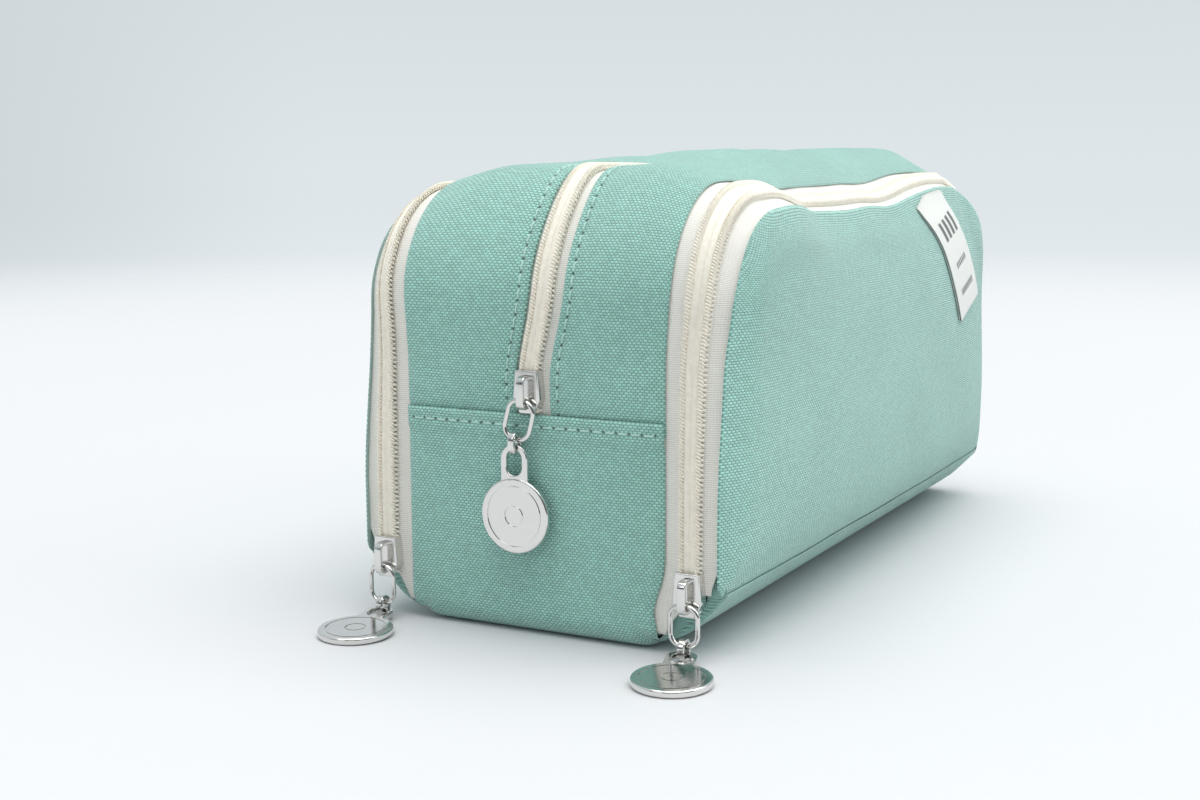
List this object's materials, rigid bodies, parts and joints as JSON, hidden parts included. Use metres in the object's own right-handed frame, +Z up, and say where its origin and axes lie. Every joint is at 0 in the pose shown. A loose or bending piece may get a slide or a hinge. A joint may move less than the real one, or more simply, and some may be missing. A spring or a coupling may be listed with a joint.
{
  "type": "pencil case",
  "caption": "Soft canvas pencil case with a zipped centre compartment and zipped side compartments under full-height flaps, each zip with a round metal tag",
  "frame": {"origin": "centre of the flat base, on the surface that the case stands on", "axes": "+X along the length, away from the end with the zip pulls; +Z up; -Y towards the side with the woven label"},
  "size_m": [0.2269, 0.0966, 0.0987],
  "materials": {
    "mint_canvas": "coarse plain weave",
    "lining_cloth": "thin smooth lining",
    "padding": "thin sewn-in foam",
    "zip_tape": "ribbed woven tape",
    "zip_coil": "nylon coil",
    "polished_nickel": "polished",
    "label_cotton": "printed cotton"
  },
  "bodies": {
    "case": {"base_canvas": "mint_canvas", "base_foam": "padding", "base_lining": "lining_cloth", "front_center_coil": "zip_coil", "front_center_tape": "zip_tape", "front_left_strip": "mint_canvas", "front_right_strip": "mint_canvas", "front_strip_foam": "padding", "front_strip_lining": "lining_cloth", "left_case_coil": "zip_coil", "left_case_tape": "zip_tape", "left_partition": "lining_cloth", "left_side_floor": "mint_canvas", "rear_center_coil": "zip_coil", "rear_center_tape": "zip_tape", "rear_left_strip": "mint_canvas", "rear_right_strip": "mint_canvas", "rear_strip_foam": "padding", "rear_strip_lining": "lining_cloth", "right_case_coil": "zip_coil", "right_case_tape": "zip_tape", "right_partition": "lining_cloth", "right_side_floor": "mint_canvas"},
    "right_flap": {"right_flap_canvas": "mint_canvas", "right_flap_coil": "zip_coil", "right_flap_foam": "padding", "right_flap_lining": "lining_cloth", "right_flap_tape": "zip_tape", "woven_label": "label_cotton"},
    "right_lip": {"right_lip_coil": "zip_coil", "right_lip_foam": "padding", "right_lip_lining": "lining_cloth", "right_lip_strip": "mint_canvas", "right_lip_tape": "zip_tape"},
    "left_flap": {"left_flap_canvas": "mint_canvas", "left_flap_coil": "zip_coil", "left_flap_foam": "padding", "left_flap_lining": "lining_cloth", "left_flap_tape": "zip_tape"},
    "left_lip": {"left_lip_coil": "zip_coil", "left_lip_foam": "padding", "left_lip_lining": "lining_cloth", "left_lip_strip": "mint_canvas", "left_lip_tape": "zip_tape"},
    "right_slider": {"right_slider_body": "polished_nickel", "right_slider_crown": "polished_nickel"},
    "right_link": {"right_pull_link": "polished_nickel"},
    "right_connector": {"right_pull_connector": "polished_nickel"},
    "right_tag": {"right_pull_tag": "polished_nickel"},
    "left_slider": {"left_slider_body": "polished_nickel", "left_slider_crown": "polished_nickel"},
    "left_link": {"left_pull_link": "polished_nickel"},
    "left_connector": {"left_pull_connector": "polished_nickel"},
    "left_tag": {"left_pull_tag": "polished_nickel"},
    "center_slider": {"center_slider_body": "polished_nickel", "center_slider_crown": "polished_nickel"},
    "center_link": {"center_pull_link": "polished_nickel"},
    "center_connector": {"center_pull_connector": "polished_nickel"},
    "center_tag": {"center_pull_tag": "polished_nickel"}
  },
  "joints": [
    {"name": "right_flap_hinge", "type": "hinge", "parent": "case", "child": "right_flap", "pos_m": [0, -0.0451, 0.013], "axis": [1, 0, 0], "range_deg": [0, 90]},
    {"name": "right_lip_hinge", "type": "hinge", "parent": "case", "child": "right_lip", "pos_m": [0, -0.0314, 0.097], "axis": [1, 0, 0], "range_deg": [0, 75]},
    {"name": "left_flap_hinge", "type": "hinge", "parent": "case", "child": "left_flap", "pos_m": [0, 0.0451, 0.013], "axis": [-1, 0, 0], "range_deg": [0, 90]},
    {"name": "left_lip_hinge", "type": "hinge", "parent": "case", "child": "left_lip", "pos_m": [0, 0.0314, 0.097], "axis": [-1, 0, 0], "range_deg": [0, 75]},
    {"name": "right_slider_slide", "type": "slide", "parent": "case", "child": "right_slider", "axis": [0, 0, 1], "range_m": [0, 0.053], "deforming": ["right_case_coil", "right_flap_coil"]},
    {"name": "right_link_swing", "type": "hinge", "parent": "right_slider", "child": "right_link", "pos_m": [-0.1031, -0.0378, 0.012], "axis": [0, 1, 0], "range_deg": [0, 80]},
    {"name": "right_connector_swing", "type": "hinge", "parent": "right_link", "child": "right_connector", "pos_m": [-0.1031, -0.0378, 0.0036], "axis": [0, 1, 0], "range_deg": [0, 20]},
    {"name": "right_tag_swing", "type": "hinge", "parent": "right_connector", "child": "right_tag", "pos_m": [-0.1031, -0.0378, 0.0018], "axis": [-0.2756, 0.9613, 0], "range_deg": [0, 15]},
    {"name": "left_slider_slide", "type": "slide", "parent": "case", "child": "left_slider", "axis": [0, 0, 1], "range_m": [0, 0.053], "deforming": ["left_case_coil", "left_flap_coil"]},
    {"name": "left_link_swing", "type": "hinge", "parent": "left_slider", "child": "left_link", "pos_m": [-0.1031, 0.0378, 0.012], "axis": [0, 1, 0], "range_deg": [0, 80]},
    {"name": "left_connector_swing", "type": "hinge", "parent": "left_link", "child": "left_connector", "pos_m": [-0.1031, 0.0378, 0.0036], "axis": [0, 1, 0], "range_deg": [0, 20]},
    {"name": "left_tag_swing", "type": "hinge", "parent": "left_connector", "child": "left_tag", "pos_m": [-0.1031, 0.0378, 0.0018], "axis": [-0.2079, 0.9781, 0], "range_deg": [0, 15]},
    {"name": "center_slider_slide", "type": "slide", "parent": "case", "child": "center_slider", "axis": [0, 0, 1], "range_m": [0, 0.013], "deforming": ["front_center_coil"]},
    {"name": "center_link_swing", "type": "hinge", "parent": "center_slider", "child": "center_link", "pos_m": [-0.1031, 0, 0.05205], "axis": [0, 0.9659, 0.2588], "range_deg": [0, 80]},
    {"name": "center_connector_swing", "type": "hinge", "parent": "center_link", "child": "center_connector", "pos_m": [-0.1031, 0.00217, 0.04394], "axis": [0, 1, 0], "range_deg": [0, 20]},
    {"name": "center_tag_swing", "type": "hinge", "parent": "center_connector", "child": "center_tag", "pos_m": [-0.1031, 0.00217, 0.04214], "axis": [0, 1, 0], "range_deg": [0, 60]}
  ]
}
